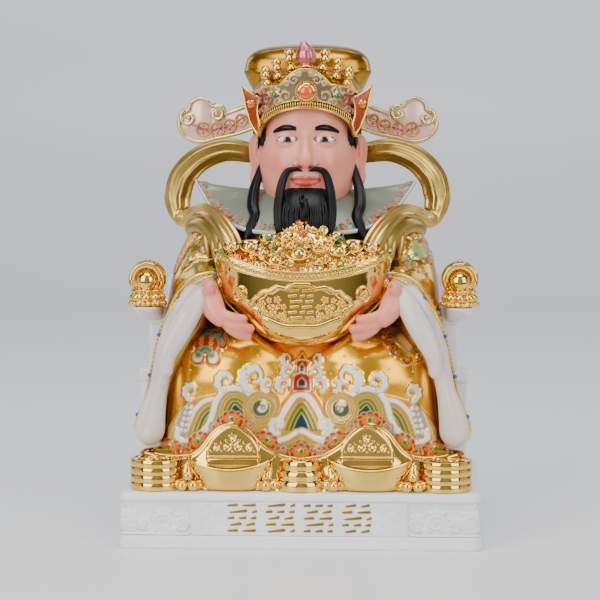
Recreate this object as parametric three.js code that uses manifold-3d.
// A seated god-of-wealth figurine of painted and gold-plated cast resin.
// It sits on a white throne, on a white plinth, holds a large gold ingot heaped with treasure, and has
// gold ingots, coins and beads at its feet.
// Millimetres, +Z up, the figure faces -Y. The origin is the middle of the plinth's underside.
import * as THREE from "three";
import { mergeVertices } from "three/addons/utils/BufferGeometryUtils.js";
import Module from "manifold-3d";

const wasm = await Module();
wasm.setup();

// The gap between pieces that touch.
const CLEARANCE = 0.35;

const PLINTH_WIDTH = 300;
const PLINTH_DEPTH = 210;
const PLINTH_HEIGHT = 47;
const PLINTH_CORNER = 9;
const PLINTH_FOOT = 11;
const PLINTH_WAIST = 2.4;
const PLINTH_PANEL_WIDTH = 178;
const PLINTH_EDGE = 3.4;

// From the plinth's top to the tip of the crown's jewel.
const FIGURE_HEIGHT = 373;
// The figure's pose, proportions and carving are shares of its height. U is 1 at the height above, and
// the figure's places below are written in this unit.
const DRAWN_HEIGHT = 373;
const U = FIGURE_HEIGHT / DRAWN_HEIGHT;

const INGOT_LENGTH = 151;
const INGOT_DEPTH = 66;
const INGOT_HEIGHT = 80;
const INGOT_RISE = 18;
const INGOT_FOOT_LENGTH = 38;
const INGOT_RIM = 8;
const INGOT_RIM_PROUD = 2;
const INGOT_HEAP = 22;
const INGOT_BASE_Z = 118.5 * U;
const INGOT_Y = -56 * U;

const THRONE_SIDE_MARGIN = 10;
const THRONE_BACK_MARGIN = 7;
const THRONE_DEPTH = 130;
const THRONE_SEAT_HEIGHT = 94;
const THRONE_SEAT_EDGE = 11;
const THRONE_BACK_HEIGHT = 212;
const THRONE_BACK_WIDTH = 204;
const THRONE_BACK_THICKNESS = 17;
const THRONE_SHOULDER_HEIGHT = 168;
const THRONE_ARM_HEIGHT = 148;
const THRONE_POST = 18;
const THRONE_POST_MARGIN = 9;
const THRONE_CORBEL = 24;
const THRONE_CORBEL_HEIGHT = 12;

const FINIAL_WIDTH = 31;
const FINIAL_HEIGHT = 39;

const COIN_RADIUS = 22;
const COIN_THICKNESS = 6.3;
const SIDE_STACK_COINS = 4;
const MIDDLE_COIN_THICKNESS = 7.3;
const MIDDLE_STACK_COINS = 3;
const TREASURE_SIDE_MARGIN = 8;
const TREASURE_FRONT_MARGIN = 3;
const SMALL_INGOT_LENGTH = 71;
const SMALL_INGOT_HEIGHT = 28;
const SMALL_INGOT_RISE = 9;
const SMALL_INGOT_DEPTH = 32;
const SMALL_INGOT_FOOT_LENGTH = 42;
const SMALL_INGOT_RIM = 2;
const SMALL_INGOT_RIM_PROUD = 0.8;
const SMALL_INGOT_HUMP_HEIGHT = 49;
const SMALL_INGOT_HUMP_LENGTH = 44;
const BEAD_RADIUS = 4.6;

const CROWN_WALL = 4;
const CROWN_BEAD = 3.9;
const WING_THICKNESS = 4;
const WING_SWEEP = THREE.MathUtils.degToRad(7);

const THRONE_WIDTH = PLINTH_WIDTH - 2 * THRONE_SIDE_MARGIN;
const THRONE_BACK_Y = PLINTH_DEPTH / 2 - THRONE_BACK_MARGIN;
const THRONE_FRONT_Y = THRONE_BACK_Y - THRONE_DEPTH;
const POST_OUTER = THRONE_WIDTH / 2 - THRONE_POST_MARGIN;
const FINIAL_X = POST_OUTER + 1;
const STACK_X = PLINTH_WIDTH / 2 - TREASURE_SIDE_MARGIN - COIN_RADIUS;
const STACK_Y = -PLINTH_DEPTH / 2 + TREASURE_FRONT_MARGIN + COIN_RADIUS;
const SMALL_INGOT_X = STACK_X / 2 - 1.5;

const WHITE = new THREE.MeshStandardMaterial({ color: 0xeeecea, roughness: 0.4 });
const GOLD = new THREE.MeshStandardMaterial({ color: 0xe0b048, roughness: 0.15, metalness: 1 });
const ROBE_GOLD = new THREE.MeshStandardMaterial({ color: 0xd39a2a, roughness: 0.3, metalness: 0.8 });
const CREAM = new THREE.MeshStandardMaterial({ color: 0xeed9c8, roughness: 0.4 });

// A point in the figure's own unit.
function at(x, y, z) {
  return new THREE.Vector3(x * U, y * U, z * U);
}

// A three.js geometry as a solid for cutting and joining.
function solid(geometry) {
  const bare = geometry.clone();
  bare.deleteAttribute("normal");
  bare.deleteAttribute("uv");
  const merged = mergeVertices(bare, 1e-4);
  const vertProperties = new Float32Array(merged.attributes.position.array);
  const triVerts = new Uint32Array(merged.index.array);
  return new wasm.Manifold(new wasm.Mesh({ numProp: 3, vertProperties, triVerts }));
}

// A closed solid from points and triangles, whichever way the triangles turn.
function closed(points, faces) {
  const build = (order) => {
    const geometry = new THREE.BufferGeometry();
    geometry.setFromPoints(points);
    geometry.setIndex(order);
    return solid(geometry);
  };
  const made = build(faces);
  return made.volume() < 0 ? build(faces.slice().reverse()) : made;
}

// Joins rings of points, end to end or, if around, back to the first. Open ends are capped.
function loft(rings, around = false) {
  const n = rings[0].length;
  const points = rings.flat();
  const faces = [];
  const bands = around ? rings.length : rings.length - 1;
  for (let r = 0; r < bands; r++) {
    const next = ((r + 1) % rings.length) * n;
    for (let i = 0; i < n; i++) {
      const j = (i + 1) % n;
      faces.push(r * n + i, r * n + j, next + j, r * n + i, next + j, next + i);
    }
  }
  for (const end of around ? [] : [0, rings.length - 1]) {
    const middle = rings[end].reduce((sum, p) => sum.add(p), new THREE.Vector3()).divideScalar(n);
    points.push(middle);
    for (let i = 0; i < n; i++) {
      const a = end * n + i;
      const b = end * n + ((i + 1) % n);
      faces.push(...(end ? [a, b, points.length - 1] : [b, a, points.length - 1]));
    }
  }
  return closed(points, faces);
}

// The points of a level ring: an oval, or squarer than one if power is over 2.
function oval(z, halfWidth, halfDepth, x, y, sides, power = 2) {
  return Array.from({ length: sides }, (_, i) => {
    const angle = (2 * Math.PI * i) / sides;
    const bend = (v) => Math.sign(v) * Math.abs(v) ** (2 / power);
    return new THREE.Vector3(x + halfWidth * bend(Math.cos(angle)), y + halfDepth * bend(Math.sin(angle)), z);
  });
}

// A loft of level ovals, from [height, half width, half depth, y] in the figure's unit.
function stacked(levels, x, sides, power, grow) {
  return loft(
    levels.map(([z, w, d, y]) => oval(z * U, w * U + grow, d * U + grow, x * U, y * U, sides, power)),
  );
}

// A strand along a smooth path. sizes are [half width, half thickness] in the figure's unit, with the
// thickness lying as near to the Y axis as the path lets it. Ends are blunt, and flutes groove the strand.
function strand(path, sizes, sides, steps, grow = 0, flutes = 0) {
  const line = new THREE.CatmullRomCurve3(path);
  const girth = new THREE.CatmullRomCurve3(sizes.map(([w, t]) => new THREE.Vector3(w, t, 0)));
  const rings = [];
  for (let k = 0; k <= steps; k++) {
    const u = k / steps;
    const along = line.getTangent(u);
    const depth = new THREE.Vector3(0, 1, 0).addScaledVector(along, -along.y).normalize();
    const across = along.clone().cross(depth);
    const size = girth.getPoint(u);
    const blunt = k === 0 || k === steps ? 0.6 : 1;
    const ring = [];
    for (let i = 0; i < sides; i++) {
      const angle = (2 * Math.PI * i) / sides;
      const groove = flutes ? 1 + 0.2 * Math.cos(flutes * angle) : 1;
      const point = line.getPoint(u);
      point.addScaledVector(across, Math.cos(angle) * (size.x * U * blunt + grow));
      point.addScaledVector(depth, Math.sin(angle) * (size.y * U * blunt * groove + grow));
      ring.push(point);
    }
    rings.push(ring);
  }
  return loft(rings);
}

// A ball with the given half sizes.
function ball(centre, rx, ry, rz, across, down, grow = 0) {
  const made = new THREE.SphereGeometry(1, across, down).rotateX(Math.PI / 2);
  return solid(made.scale(rx + grow, ry + grow, rz + grow).translate(centre.x, centre.y, centre.z));
}

// A bead with few faces.
function bead(centre, radius) {
  return solid(new THREE.IcosahedronGeometry(radius, 0).translate(centre.x, centre.y, centre.z));
}

function box(x0, x1, y0, y1, z0, z1) {
  const made = new THREE.BoxGeometry(x1 - x0, y1 - y0, z1 - z0);
  return solid(made.translate((x0 + x1) / 2, (y0 + y1) / 2, (z0 + z1) / 2));
}

// A plate in the XZ plane from its outline, from its front to its back.
function plate(outline, front, back, curveSegments) {
  const made = new THREE.ExtrudeGeometry(outline, { depth: back - front, bevelEnabled: false, curveSegments });
  return solid(made.rotateX(Math.PI / 2).translate(0, back, 0));
}

function joined(solids) {
  return solids.reduce((whole, one) => whole.add(one));
}

// The largest body of a solid, without the crumbs that a cut can leave.
function largest(made) {
  return made.decompose().reduce((best, one) => (one.volume() > best.volume() ? one : best));
}

// Both sides of a mirrored pair: make is given -1 and 1.
function pair(make) {
  return make(-1).add(make(1));
}

// The value at a place between stops [place, value].
function stepped(stops, place) {
  const next = stops.findIndex(([where]) => place <= where);
  if (next === 0) return stops[0][1];
  if (next < 0) return stops[stops.length - 1][1];
  const [a, va] = stops[next - 1];
  const [b, vb] = stops[next];
  return THREE.MathUtils.lerp(va, vb, (place - a) / (b - a));
}

// A smooth swell of height 1 where the offset is 0.
function swell(offset, width) {
  return Math.exp(-((offset / width) ** 2));
}

function roundedRectangle(z, inset) {
  const x = PLINTH_WIDTH / 2 - inset - PLINTH_CORNER;
  const y = PLINTH_DEPTH / 2 - inset - PLINTH_CORNER;
  const turns = 3;
  const ring = [];
  for (const [quarter, cx, cy] of [[0, x, y], [1, -x, y], [2, -x, -y], [3, x, -y]]) {
    for (let i = 0; i <= turns; i++) {
      const angle = (Math.PI / 2) * (quarter + i / turns);
      const x1 = cx + PLINTH_CORNER * Math.cos(angle);
      const y1 = cy + PLINTH_CORNER * Math.sin(angle);
      ring.push(new THREE.Vector3(x1, y1, z));
    }
  }
  return ring;
}

// The plinth: a foot band, a waist with a panel and clouds in relief, and a rounded top edge.
function plinth() {
  const top = PLINTH_HEIGHT;
  const levels = [
    [0, 0],
    [PLINTH_FOOT, 0],
    [PLINTH_FOOT + 1, PLINTH_WAIST],
    [top - 9, PLINTH_WAIST],
    [top - 7, 0.4],
    [top - PLINTH_EDGE, 0.4],
    [top, PLINTH_EDGE],
  ];
  const body = loft(levels.map(([z, inset]) => roundedRectangle(z, inset)));
  const waist = -PLINTH_DEPTH / 2 + PLINTH_WAIST;
  const face = -PLINTH_DEPTH / 2 + 0.2;
  const half = PLINTH_PANEL_WIDTH / 2;
  const panel = box(-half, half, face, waist + 2, PLINTH_FOOT - 1, top - 6);
  // The end of the front beside the panel holds a cloud of three curls, sized from the room there.
  const room = PLINTH_WIDTH / 2 - PLINTH_CORNER - half;
  const curls = [[0.2, 0.14, 0.6], [0.5, 0.17, 1], [0.82, 0.12, 0.4]];
  const clouds = pair((side) =>
    joined(
      curls.map(([along, share, lift]) => {
        const curl = new THREE.CylinderGeometry(room * share * 0.85, room * share, waist - face + 2, 9);
        const z = PLINTH_FOOT + room * share + lift * 3;
        return solid(curl.translate(side * (half + room * along), (face + waist) / 2 + 1, z));
      }),
    ),
  );
  return joined([body, panel, clouds]);
}

// The height of the robe's hem over the treasure at its feet.
function hemHeight(x) {
  return (20 + 33 * swell(Math.abs(x / U) - 57, 26) + 6 * swell(Math.abs(x / U) - 125, 20)) * U;
}

const ROBE_HALF_WIDTHS = [[0, 120], [30, 122], [57, 118], [90, 113], [112, 106], [124, 94], [132, 72]];
const ROBE_FRONTS = [[0, -72], [40, -76], [85, -77], [104, -73], [116, -65], [124, -56], [132, -44]];
const KNEE_SHAPE = [[15, 0.1], [60, 0.4], [92, 1], [132, 1.4]];

// The robe over the legs: two knees with a valley between them, in front of the throne.
function legs(grow) {
  const back = THRONE_FRONT_Y - CLEARANCE + grow;
  const rings = [0, 44, 88, 104, 118, 130].map((z) =>
    oval(z * U, 1, 1, 0, 0, 26, 2.7).map((p) => {
      const x = p.x * stepped(ROBE_HALF_WIDTHS, z);
      const valley = 26 * swell(x, 26) - 6 * swell(Math.abs(x) - 62, 30);
      const front = (stepped(ROBE_FRONTS, z) + valley * stepped(KNEE_SHAPE, z)) * U - grow;
      const y = p.y < 0 ? THREE.MathUtils.lerp(back, front, -p.y) : back;
      return new THREE.Vector3(x * U + p.x * grow, y, p.z);
    }),
  );
  return loft(rings);
}

// The seat of the robe, on the throne.
function hips(grow) {
  const base = THRONE_SEAT_HEIGHT / U + CLEARANCE - grow;
  const levels = [[base, 106, 58, 0], [112, 106, 60, 0], [128, 96, 57, 2], [140, 86, 50, 10]];
  return stacked(levels, 0, 14, 2.6, grow);
}

function torso(grow) {
  const levels = [
    [110, 84, 48, 16],
    [190, 81, 45, 18],
    [213, 68, 39, 15],
    [227, 50, 32, 10],
    [238, 33, 27, 4],
  ];
  return stacked(levels, 0, 14, 2.2, grow);
}

// A sleeve's levels from the shoulder down to its hanging end: [height, out, half width, half depth, y].
const SLEEVE_LEVELS = [
  [33, 133, 6, 7, -50],
  [40, 131, 11.5, 12, -50],
  [58, 129.5, 12.5, 15, -50],
  [91, 121, 13.5, 16, -50],
  [124, 104, 18, 25, -40],
  [150, 93, 23, 35, -21],
  [178, 87, 25, 36, -3],
  [206, 79, 22, 28, 10],
  [226, 62, 11, 14, 12],
];

function sleeve(side, grow) {
  const rings = SLEEVE_LEVELS.map(([z, x, w, d, y]) =>
    oval(z * U, w * U + grow, d * U + grow, side * x * U, y * U, 10, 2.2),
  );
  const forearm = [at(side * 90, -8, 165), at(side * 84, -34, 162), at(side * 78, -54, 158)];
  return loft(rings).add(strand(forearm, [[24, 22], [20, 18], [14, 14]], 7, 2, grow));
}

// The white lining that shows in the sleeve's mouth, as two hanging lobes.
function lining(side, grow) {
  const long = [
    at(side * 80, -62, 172),
    at(side * 93, -66, 148),
    at(side * 103, -66, 124),
    at(side * 119, -64, 91),
    at(side * 129, -63, 57),
    at(side * 132, -62, 36),
  ];
  const short = [
    at(side * 86, -72, 150),
    at(side * 98, -76, 131),
    at(side * 107, -76, 112),
    at(side * 111, -75, 95),
  ];
  const longSizes = [[7, 7], [10, 8], [15, 9], [11, 8], [11.5, 8], [11, 6]];
  const shortSizes = [[9, 8], [10, 8], [8, 7], [7, 6]];
  return strand(long, longSizes, 6, 5, grow).add(strand(short, shortSizes, 6, 3, grow));
}

// A hand under the end of the held ingot, with its thumb on the side and its fingers round the belly.
function hand(side, grow) {
  const end = INGOT_LENGTH / 2;
  const front = INGOT_Y - INGOT_DEPTH / 2;
  const point = (inwards, forward, up) =>
    new THREE.Vector3(side * (end - inwards * U), front + (16 - forward) * U, INGOT_BASE_Z + up * U);
  const palm = strand(
    [point(-1, -6, 47), point(-7, 0, 39), point(-4, 3, 27), point(7, 6, 16), point(20, 8, 12)],
    [[7, 9], [10, 12], [12, 13], [11, 11], [9, 8]],
    7,
    4,
    grow,
  );
  const thumbPath = [point(-3, 1, 42), point(1, 2, 47), point(5, 3, 51)];
  const thumb = strand(thumbPath, [[5, 6], [5.5, 5.5], [5, 5]], 5, 2, grow);
  const fingers = [[0, 0], [5, -7], [7, -14]].map(([inwards, up]) => {
    const path = [
      point(14 + inwards * 0.5, 8, 21 + up * 0.6),
      point(22 + inwards, 9, 20 + up),
      point(30 + inwards, 8, 22 + up),
    ];
    return strand(path, [[5.5, 6], [5.5, 6], [5.5, 5.5]], 5, 2, grow);
  });
  return joined([palm, thumb, ...fingers]);
}

// The collar's edge on one side, from the middle of the chest over the raised point to the nape.
const COLLAR_EDGE = [
  [0, -52, 211],
  [30, -49, 212],
  [58, -39, 216],
  [80, -18, 230],
  [94, 4, 251],
  [80, 24, 245],
  [48, 46, 241.5],
  [0, 54, 240],
];

// The wide collar: low in front, with a raised point over each shoulder, and a band round the neck.
function collar(grow) {
  const otherSide = COLLAR_EDGE.slice(1, -1).reverse();
  const edge = [...COLLAR_EDGE, ...otherSide.map(([x, y, z]) => [-x, y, z])].map((p) => at(...p));
  const ring = (share, drop, radius = 34, lift = 246) =>
    edge.map((p) => {
      const out = new THREE.Vector3(p.x, p.y - 2 * U, 0).normalize();
      const neck = out.clone().multiplyScalar(radius * U).add(at(0, 2, lift));
      const point = neck.lerp(p, share).addScaledVector(out, grow);
      point.z -= drop * U;
      return point;
    });
  return loft([ring(0.5, 16, 30, 236), ring(1, 2.5), ring(1, 0), ring(0.4, 6), ring(0, 0)]);
}

// The folds of the scarf that lie from the shoulder to the chest, beside the collar.
function chestFolds(side, grow) {
  const path = [
    at(side * 99, 18, 218),
    at(side * 88, -6, 222),
    at(side * 74, -30, 212),
    at(side * 60, -44, 190),
  ];
  return strand(path, [[10, 9], [11, 10], [11, 9], [8, 8]], 7, 4, grow);
}

function head(grow) {
  const levels = [
    [228, 26, 34, -2],
    [236, 33, 38, -2],
    [248, 40, 41, -1],
    [266, 41.5, 42, 0],
    [296, 39.5, 42, 2],
    [324, 37, 40, 3],
    [338, 26, 28, 3],
  ];
  const bridge = [at(0, -37, 283), at(0, -42, 270), at(0, -43, 260)];
  const nose = strand(bridge, [[3, 4], [4.5, 5], [7, 5]], 6, 2, grow);
  const lobes = [[3, 7], [4, 9], [3.5, 6], [5, 5]];
  const ears = pair((side) => {
    const path = [at(side * 42, 6, 291), at(side * 47, 4, 282), at(side * 46, 2, 264), at(side * 48, 0, 252)];
    return strand(path, lobes, 5, 3, grow);
  });
  return joined([stacked(levels, 0, 14, 2.15, grow), nose, ears]);
}

// The beard, the long moustache on it and the two locks of hair beside it.
function hair(grow) {
  const chin = [at(0, -32, 247), at(0, -43, 236), at(0, -49, 224), at(0, -51, 210)];
  const beard = strand(chin, [[17, 8], [23, 9], [24, 9], [18, 7]], 9, 3, grow);
  const moustache = pair((side) => {
    const path = [
      at(side * 3, -43, 256),
      at(side * 14, -43, 257),
      at(side * 23, -44, 243),
      at(side * 25, -51, 226),
      at(side * 23, -55, 212),
    ];
    return strand(path, [[2, 2], [3.5, 3.5], [4.2, 4.2], [4.2, 4.2], [3, 3]], 5, 5, grow);
  });
  const locks = pair((side) => {
    const path = [
      at(side * 40, -13, 264),
      at(side * 46, -22, 248),
      at(side * 44, -36, 226),
      at(side * 51, -46, 205),
    ];
    return strand(path, [[2.5, 3], [6.5, 5], [6, 5], [4, 3]], 5, 4, grow);
  });
  return joined([beard, moustache, locks]);
}

function figure(grow) {
  return joined([
    legs(grow),
    hips(grow),
    torso(grow),
    pair((side) => sleeve(side, grow)),
    pair((side) => lining(side, grow)),
    pair((side) => hand(side, grow)),
    pair((side) => chestFolds(side, grow)),
    collar(grow),
    head(grow),
    hair(grow),
  ]);
}

// A boat-shaped ingot: its ends rise, its belly narrows to a foot, and a band of height rim stands proud
// round its mouth. It stands at the given place.
function boat({ length, depth, height, rise, foot, rim, proud, stations, turns }, place, grow) {
  const rings = [];
  const footShare = foot / length;
  for (let k = 0; k <= stations; k++) {
    const u = (2 * k) / stations - 1;
    const halfDepth = (depth / 2) * Math.max(0.12, Math.sqrt(1 - u * u)) + grow;
    const top = height - rise + rise * u * u + grow;
    const swept = Math.max(0, Math.abs(u) - footShare) / (0.97 - footShare);
    const bottom = Math.min(height * 0.9 * swept ** 2.1, top - rim - height * 0.05) - grow;
    const x = u * (length / 2 + grow);
    const low = top - rim - 2 * grow;
    const ring = [new THREE.Vector3(x, -halfDepth - proud, top), new THREE.Vector3(x, -halfDepth - proud, low)];
    for (let i = 0; i <= turns; i++) {
      const angle = Math.PI * (i / turns);
      const z = low - (low - bottom) * Math.sin(angle) ** 0.7;
      ring.push(new THREE.Vector3(x, -Math.cos(angle) * halfDepth, z));
    }
    ring.push(new THREE.Vector3(x, halfDepth + proud, low), new THREE.Vector3(x, halfDepth + proud, top));
    rings.push(ring.map((p) => p.add(place)));
  }
  return loft(rings);
}

// Beads on the front of the heap in rows: [distance from the middle, height, count, radius].
const HEAP_ROWS = [
  [0.78, 0.24, 7, 6.8],
  [0.5, 0.5, 4, 6.8],
  [0.22, 0.84, 2, 6.3],
];

function heap(grow) {
  const base = INGOT_BASE_Z + INGOT_HEIGHT - INGOT_RISE;
  const peak = INGOT_RISE + INGOT_HEAP;
  const shares = [[0, 0.97], [0.3, 0.75], [0.62, 0.44], [1, 0.1]];
  const rings = shares.map(([rise, share]) => {
    const halfLength = (INGOT_LENGTH / 2 - 5) * share + grow;
    const halfDepth = (INGOT_DEPTH / 2 - 3) * share + grow;
    return oval(base + peak * rise + (rise ? grow : -grow), halfLength, halfDepth, 0, INGOT_Y, 14);
  });
  const beads = HEAP_ROWS.flatMap(([share, rise, count, radius]) =>
    Array.from({ length: count }, (_, i) => {
      const angle = Math.PI * (1 + (i + 0.5) / count);
      const x = Math.cos(angle) * (INGOT_LENGTH / 2 - 5) * share;
      const y = INGOT_Y + Math.sin(angle) * (INGOT_DEPTH / 2 - 3) * share;
      return bead(new THREE.Vector3(x, y, base + peak * rise), radius + grow);
    }),
  );
  return joined([loft(rings), ...beads]);
}

// The raised frame on the front of the held ingot.
function cartouche() {
  const halfWidth = INGOT_LENGTH * 0.28;
  const middle = INGOT_BASE_Z + (INGOT_HEIGHT - INGOT_RISE) * 0.5;
  const half = (INGOT_HEIGHT - INGOT_RISE - INGOT_RIM) * 0.36;
  const ring = (inset) =>
    new THREE.EllipseCurve(0, middle, halfWidth - inset, half - inset, 0, 2 * Math.PI).getPoints(10);
  const outline = new THREE.Shape(ring(0));
  outline.holes.push(new THREE.Path(ring(3)));
  const slab = plate(outline, INGOT_Y - INGOT_DEPTH, INGOT_Y, 1);
  return slab.intersect(ingotBody(1.3));
}

function ingotBody(grow) {
  const shape = {
    length: INGOT_LENGTH,
    depth: INGOT_DEPTH,
    height: INGOT_HEIGHT,
    rise: INGOT_RISE,
    foot: INGOT_FOOT_LENGTH,
    rim: INGOT_RIM,
    proud: INGOT_RIM_PROUD,
    stations: 12,
    turns: 7,
  };
  return boat(shape, new THREE.Vector3(0, INGOT_Y, INGOT_BASE_Z), grow);
}

// The held ingot with its rim and its heap of treasure.
function heldIngot(grow) {
  const parts = [ingotBody(grow), heap(grow)];
  if (!grow) parts.push(cartouche());
  return joined(parts);
}

// The throne's back: a high middle with a rounded head between two lower shoulders.
function throneBack() {
  const half = THRONE_BACK_WIDTH / 2;
  const outer = POST_OUTER - 5;
  const bend = 20;
  const shoulder = THRONE_SHOULDER_HEIGHT;
  const outline = new THREE.Shape();
  outline.moveTo(-outer, 0);
  outline.lineTo(outer, 0);
  outline.lineTo(outer, shoulder - 5);
  outline.lineTo(outer - 5, shoulder);
  outline.lineTo(half, shoulder);
  outline.lineTo(half, THRONE_BACK_HEIGHT - 2 * bend);
  outline.quadraticCurveTo(half, THRONE_BACK_HEIGHT - bend, half - bend, THRONE_BACK_HEIGHT - bend);
  outline.quadraticCurveTo(0, THRONE_BACK_HEIGHT + bend, bend - half, THRONE_BACK_HEIGHT - bend);
  outline.quadraticCurveTo(-half, THRONE_BACK_HEIGHT - bend, -half, THRONE_BACK_HEIGHT - 2 * bend);
  outline.lineTo(-half, shoulder);
  outline.lineTo(5 - outer, shoulder);
  outline.lineTo(-outer, shoulder - 5);
  return plate(outline, THRONE_BACK_Y - THRONE_BACK_THICKNESS, THRONE_BACK_Y, 4);
}

// An arm of the throne: a post and a panel under a rail, with a corbel in front that carries the finial.
function throneArm(side) {
  const outer = side * POST_OUTER;
  const inner = side * (POST_OUTER - THRONE_POST);
  const x0 = Math.min(outer, inner);
  const x1 = Math.max(outer, inner);
  const x = side * FINIAL_X;
  const top = THRONE_ARM_HEIGHT;
  const low = top - THRONE_CORBEL_HEIGHT;
  const seat = THRONE_SEAT_HEIGHT - 1;
  const back = THRONE_BACK_Y - 1;
  const panel = box(x0 + 4, x1 - 4, THRONE_FRONT_Y + 4, back, seat, top - 4);
  const post = box(x0, x1, THRONE_FRONT_Y + 1, THRONE_FRONT_Y + 1 + THRONE_POST, seat, top - 1);
  const rail = box(x0 - 1, x1 + 1, THRONE_FRONT_Y + 8, back, low + 4, top - 0.5);
  const corbel = loft([
    oval(low, THRONE_CORBEL * 0.4, 10, x - side * 3, THRONE_FRONT_Y + 9, 10, 3),
    oval(low + 6, THRONE_CORBEL * 0.46, 17, x - side, THRONE_FRONT_Y + 3, 10, 3),
    oval(top, THRONE_CORBEL / 2, 20, x, THRONE_FRONT_Y, 10, 3),
  ]);
  return joined([panel, post, rail, corbel]);
}

function throne() {
  const half = THRONE_WIDTH / 2;
  const seatTop = THRONE_SEAT_HEIGHT;
  const seatLow = seatTop - THRONE_SEAT_EDGE;
  const block = box(1.5 - half, half - 1.5, THRONE_FRONT_Y + 1.5, THRONE_BACK_Y - 1, 0, seatLow + 1);
  const edge = box(-half, half, THRONE_FRONT_Y, THRONE_BACK_Y, seatLow, seatTop);
  const foot = box(-half - 2, half + 2, THRONE_FRONT_Y, THRONE_BACK_Y + 2, 0, 9);
  return joined([foot, block, edge, throneBack(), pair(throneArm)]);
}

// The gold end of an arm: a petalled base, a pearl, and a hood that arches over it.
function finial(side) {
  const x = side * FINIAL_X;
  const y = THRONE_FRONT_Y - 4;
  const z = THRONE_ARM_HEIGHT + CLEARANCE;
  const wide = FINIAL_WIDTH / 2;
  const high = FINIAL_HEIGHT;
  const profile = [[0, 1], [0.07, 1.04], [0.1, 0.84], [0.24, 0.92], [0.36, 0.66]];
  const base = loft(profile.map(([rise, share]) => oval(z + high * rise, wide * share, wide * share, x, y, 9)));
  const pearl = ball(new THREE.Vector3(x, y - 4, z + high * 0.56), wide * 0.6, wide * 0.6, wide * 0.6, 7, 4);
  const hood = ball(new THREE.Vector3(x, y + 8, z + high * 0.6), wide, wide, high * 0.4, 8, 5);
  const rings = [];
  for (let k = 0; k <= 5; k++) {
    const angle = (Math.PI * k) / 5;
    const c = Math.cos(angle);
    const s = Math.sin(angle);
    const corner = (out, forward) =>
      new THREE.Vector3(x + c * (wide * 0.72 + out), y + forward, z + high * 0.48 + s * (high * 0.36 + out));
    rings.push([corner(-1.5, -4), corner(3, -4), corner(3, 4), corner(-1.5, 4)]);
  }
  return joined([base, pearl, hood, loft(rings)]);
}

function coinStack(x, coins, thickness) {
  const profile = [new THREE.Vector2(0, 0)];
  for (let n = 0; n < coins; n++) {
    profile.push(new THREE.Vector2(COIN_RADIUS - 1.2, n * thickness));
    profile.push(new THREE.Vector2(COIN_RADIUS, (n + 0.5) * thickness));
  }
  profile.push(new THREE.Vector2(COIN_RADIUS - 1.2, coins * thickness));
  profile.push(new THREE.Vector2(0, coins * thickness));
  return solid(new THREE.LatheGeometry(profile, 10).rotateX(Math.PI / 2).translate(x, STACK_Y, 0));
}

// A small ingot with the hump that rises between its ends.
function smallIngot(x) {
  const y = STACK_Y - 4;
  const shape = {
    length: SMALL_INGOT_LENGTH,
    depth: SMALL_INGOT_DEPTH,
    height: SMALL_INGOT_HEIGHT,
    rise: SMALL_INGOT_RISE,
    foot: SMALL_INGOT_FOOT_LENGTH,
    rim: SMALL_INGOT_RIM,
    proud: SMALL_INGOT_RIM_PROUD,
    stations: 8,
    turns: 5,
  };
  const profile = [[0.3, 1], [0.5, 0.98], [0.72, 0.74], [0.9, 0.4], [1, 0.1]];
  const hump = loft(
    profile.map(([rise, share]) =>
      oval(SMALL_INGOT_HUMP_HEIGHT * rise, (SMALL_INGOT_HUMP_LENGTH / 2) * share, 9 * share + 2, x, y + 1, 8),
    ),
  );
  return boat(shape, new THREE.Vector3(x, y, 0), 0).add(hump);
}

// The gold cloth that runs down from the robe's hem to the treasure.
function drape() {
  const half = STACK_X + COIN_RADIUS * 0.5;
  const stations = 16;
  const back = -48 * U;
  const crest = -72 * U;
  const front = -PLINTH_DEPTH / 2 + TREASURE_FRONT_MARGIN + 9;
  const rings = [];
  for (let k = 0; k <= stations; k++) {
    const x = -half + (2 * half * k) / stations;
    const top = hemHeight(x);
    const point = (y, z) => new THREE.Vector3(x, y, z);
    const slope = [0, 0.35, 0.7, 1].map((share) => {
      const angle = (Math.PI / 2) * share;
      return point(crest - (crest - front) * (1 - Math.cos(angle)), top * (1 - 0.94 * Math.sin(angle)));
    });
    rings.push([point(back, 0), point(back, top), ...slope, point(front, 0)]);
  }
  return loft(rings);
}

// Beads lie in the gaps between the ingots and the stacks: [middle of the row, beads in the row].
function looseBeads() {
  const edge = SMALL_INGOT_X + SMALL_INGOT_LENGTH / 2;
  const rows = [[(edge + STACK_X - COIN_RADIUS) / 2 - 1, 2], [COIN_RADIUS + BEAD_RADIUS - 1, 1]];
  const found = [];
  for (const [middle, count] of rows) {
    for (let i = 0; i < count; i++) {
      const x = middle + (i - (count - 1) / 2) * BEAD_RADIUS * 1.9;
      found.push([x, BEAD_RADIUS]);
    }
    found.push([middle, BEAD_RADIUS * 2.4]);
  }
  return [-1, 1].flatMap((side) =>
    found.map(([x, z]) => bead(new THREE.Vector3(side * x, STACK_Y - 14 + z * 0.5, z), BEAD_RADIUS)),
  );
}

function footTreasure() {
  return joined([
    drape(),
    coinStack(0, MIDDLE_STACK_COINS, MIDDLE_COIN_THICKNESS),
    pair((side) => coinStack(side * STACK_X, SIDE_STACK_COINS, COIN_THICKNESS)),
    pair((side) => smallIngot(side * SMALL_INGOT_X)),
    ...looseBeads(),
  ]);
}

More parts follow.
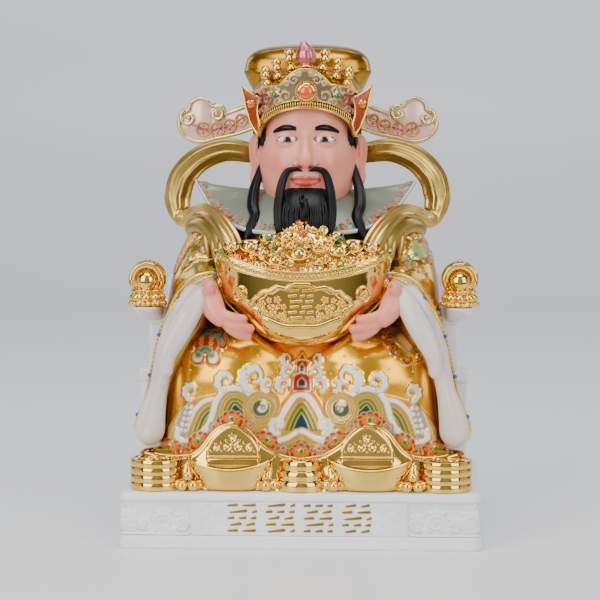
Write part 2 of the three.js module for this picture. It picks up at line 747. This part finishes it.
// The crown's band: a wall round the front, lower edge arched over the forehead, upper edge pointed.
function crownBand(grow) {
  const steps = 12;
  const reach = 1.3;
  const rings = [];
  for (let k = 0; k <= steps; k++) {
    const angle = THREE.MathUtils.lerp(-reach, reach, k / steps);
    const low = 288 + 26 * Math.sqrt(Math.max(0, 1 - (Math.sin(angle) / 0.86) ** 2));
    const high = 332 + 14 * swell(angle, 0.5);
    const corner = (radius, z, lift) =>
      new THREE.Vector3(Math.sin(angle) * radius * U, (2 - Math.cos(angle) * (radius + 2)) * U, z * U + lift);
    const inner = 42 - grow / U;
    const outer = 43 + (CROWN_WALL + grow) / U;
    const lowEdge = [corner(inner, low, -grow), corner(outer, low, -grow)];
    rings.push([...lowEdge, corner(outer + 5, high, grow), corner(inner + 4, high, grow)]);
  }
  return loft(rings);
}

// The crown: a cap cut away over the face, a tall rounded back, the band in front and a flap at each side.
function crown(grow) {
  const capLevels = [
    [288, 43, 45, 2],
    [302, 44.5, 46, 2],
    [328, 45, 47, 2],
    [340, 41, 43, 2],
    [350, 28, 30, 4],
  ];
  const cap = stacked(capLevels, 0, 14, 2, grow);
  const face = new THREE.Shape();
  face.moveTo(-36 * U, 270 * U);
  face.lineTo(36 * U, 270 * U);
  face.absellipse(0, 286 * U, 36 * U, 27 * U, 0, Math.PI);
  const opening = plate(face, -60 * U, -8 * U, 5);
  const backLevels = [
    [320, 43, 20, 24],
    [332, 46.5, 22, 23],
    [347, 54.5, 25, 22],
    [353, 54.5, 25, 22],
    [361, 49, 23, 23],
    [367, 34, 16, 24],
    [369.5, 14, 8, 25],
  ];
  const back = stacked(backLevels, 0, 14, 2.5, grow);
  const flaps = pair((side) => {
    const path = [at(side * 40, -19, 289), at(side * 47, -14, 310), at(side * 54, -9, 333)];
    return strand(path, [[4, 5], [7, 7], [4, 6]], 5, 2, grow);
  });
  const parts = [cap.subtract(opening), crownBand(grow), back, flaps];
  if (!grow) parts.push(...crownBeads(), crownJewel());
  return joined(parts);
}

// Strings of beads on each side of the jewel: [distance from the middle, height of the top bead].
const BEAD_STRINGS = [
  [14, 362],
  [25, 354],
  [34.5, 346],
];

function crownBeads() {
  return [-1, 1].flatMap((side) =>
    BEAD_STRINGS.map(([x, top]) => {
      // A bead's waist, its widest place, the next waist and so on, down the string.
      const knots = Array.from({ length: 8 }, (_, i) => at(side * x, -27 - i, top + CROWN_BEAD * (1 - i)));
      const sizes = knots.map((_, i) => (i % 2 ? [CROWN_BEAD * 1.1, CROWN_BEAD * 1.1] : [1.4, 1.4]));
      return strand(knots, sizes, 5, 7);
    }),
  );
}

// The flame-shaped jewel over the band.
function crownJewel() {
  const profile = [[0, 338], [3, 338], [3, 350], [6.6, 355], [7.6, 360], [5.6, 366], [0, DRAWN_HEIGHT]];
  const turned = new THREE.LatheGeometry(profile.map(([r, z]) => new THREE.Vector2(r * U, z * U)), 7);
  return solid(turned.rotateX(Math.PI / 2).translate(0, -38 * U, 0));
}

// A wing of the crown: a long plate that ends in a cloud of three lobes.
function crownWing(side) {
  const shape = new THREE.Shape();
  shape.moveTo(44, 297);
  shape.quadraticCurveTo(70, 286, 92, 285.5);
  shape.absarc(97, 302, 17, -Math.PI / 2, -0.1);
  shape.absarc(104, 308.5, 9, -0.4, 1.7);
  shape.absarc(94, 316.5, 9.5, 0.5, 2.7);
  shape.absarc(81, 311, 8.5, 1.3, 2.7);
  shape.lineTo(60, 317);
  shape.lineTo(44, 323);
  const thick = WING_THICKNESS / U;
  const made = new THREE.ExtrudeGeometry(shape, { depth: thick, bevelEnabled: false, curveSegments: 3 });
  // The wing sweeps back a little from the side of the cap.
  made.rotateX(Math.PI / 2).translate(0, thick, 0).scale(side * U, U, U);
  made.rotateZ(side * WING_SWEEP).translate(0, 3 * U, 0);
  return solid(side < 0 ? turnedInsideOut(made) : made);
}

// A mirrored geometry with its triangles turned to face out again.
function turnedInsideOut(geometry) {
  const position = geometry.attributes.position;
  const flipped = new THREE.BufferGeometry();
  const points = [];
  for (let i = 0; i < position.count; i += 3) {
    for (const j of [0, 2, 1]) points.push(new THREE.Vector3().fromBufferAttribute(position, i + j));
  }
  return flipped.setFromPoints(points);
}

// The stiff scarf: it passes behind the neck, rises in a loop on each side and comes down to the shoulder.
function scarf() {
  const loop = (side) => {
    const path = [
      at(side * 36, 58, 270),
      at(side * 55, 57, 275),
      at(side * 74, 55, 276.5),
      at(side * 94, 50, 269),
      at(side * 108, 44, 255),
      at(side * 112.5, 37, 238),
      at(side * 109, 29, 222),
      at(side * 98, 20, 213),
    ];
    return strand(path, [[7, 6], [8, 7], [9, 7], [10, 7], [11, 8], [11.5, 8], [11, 9], [9, 9]], 9, 10, 0, 3);
  };
  const nape = [at(-40, 58, 271), at(0, 60, 262), at(40, 58, 271)];
  const behind = strand(nape, [[7, 6], [8, 6], [7, 6]], 9, 2, 0, 3);
  return joined([loop(-1), loop(1), behind]);
}

function mesh(name, made, material) {
  const data = made.getMesh();
  const geometry = new THREE.BufferGeometry();
  geometry.setAttribute("position", new THREE.BufferAttribute(data.vertProperties, data.numProp));
  geometry.setIndex(new THREE.BufferAttribute(data.triVerts, 1));
  geometry.computeVertexNormals();
  const found = new THREE.Mesh(geometry, material);
  found.name = name;
  return found;
}

const figureGrown = figure(CLEARANCE);
const crownGrown = crown(CLEARANCE);

const figurine = new THREE.Group();
const onPlinth = new THREE.Group();
onPlinth.position.z = PLINTH_HEIGHT + CLEARANCE;
figurine.add(mesh("plinth", plinth(), WHITE), onPlinth);
onPlinth.add(
  mesh("figure", largest(figure(0).subtract(heldIngot(CLEARANCE))), ROBE_GOLD),
  mesh("held_ingot", heldIngot(0), GOLD),
  mesh("crown", largest(crown(0).subtract(head(CLEARANCE))), GOLD),
  mesh("foot_treasure", largest(footTreasure().subtract(figureGrown)), GOLD),
  mesh("throne", largest(throne().subtract(figureGrown)), WHITE),
  mesh("scarf", largest(scarf().subtract(figureGrown).subtract(crownGrown)), ROBE_GOLD),
);
for (const [name, side] of [["left", -1], ["right", 1]]) {
  onPlinth.add(
    mesh(`crown_wing_${name}`, largest(crownWing(side).subtract(crownGrown)), CREAM),
    mesh(`throne_finial_${name}`, largest(finial(side).subtract(figureGrown)), GOLD),
  );
}

export default figurine;
